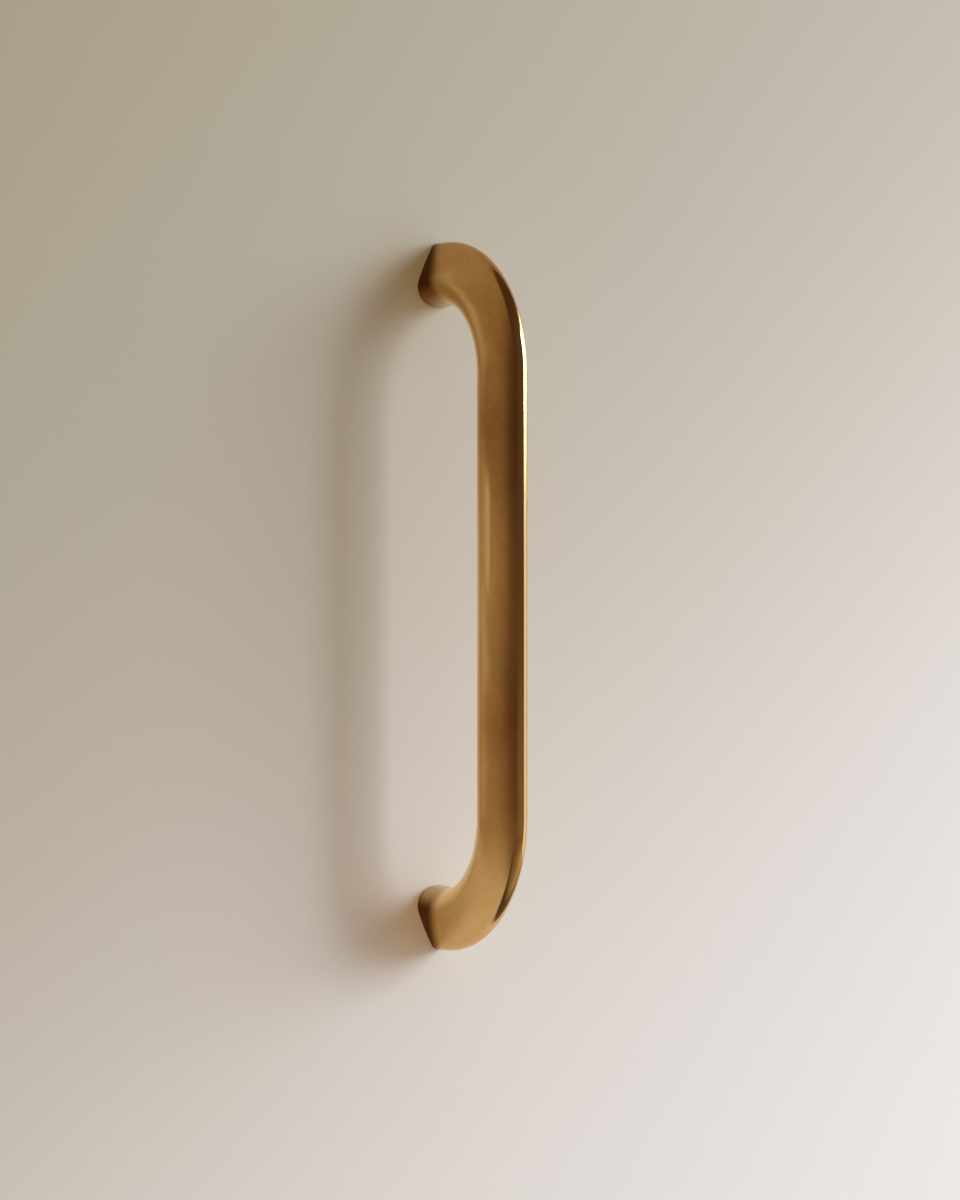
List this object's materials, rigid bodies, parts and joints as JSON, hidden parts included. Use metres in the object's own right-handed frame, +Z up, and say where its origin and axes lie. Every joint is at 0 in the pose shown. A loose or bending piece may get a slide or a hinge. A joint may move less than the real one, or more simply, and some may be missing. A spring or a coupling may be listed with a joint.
{
  "type": "cabinet pull",
  "caption": "C-shaped solid brass cabinet pull with a drop-shaped section, curved ends and tapped feet, screwed on from behind the door to pull it open.",
  "frame": {"origin": "on the door's face, midway between the two screw holes", "axes": "+Z up along the bar, -Y out from the door towards the room, +X to the right as seen from the room"},
  "size_m": [0.01, 0.0312, 0.144],
  "materials": {
    "aged_brass": "satin, aged, hand-finished"
  },
  "bodies": {
    "root": {"pull_body": "aged_brass"}
  },
  "joints": []
}
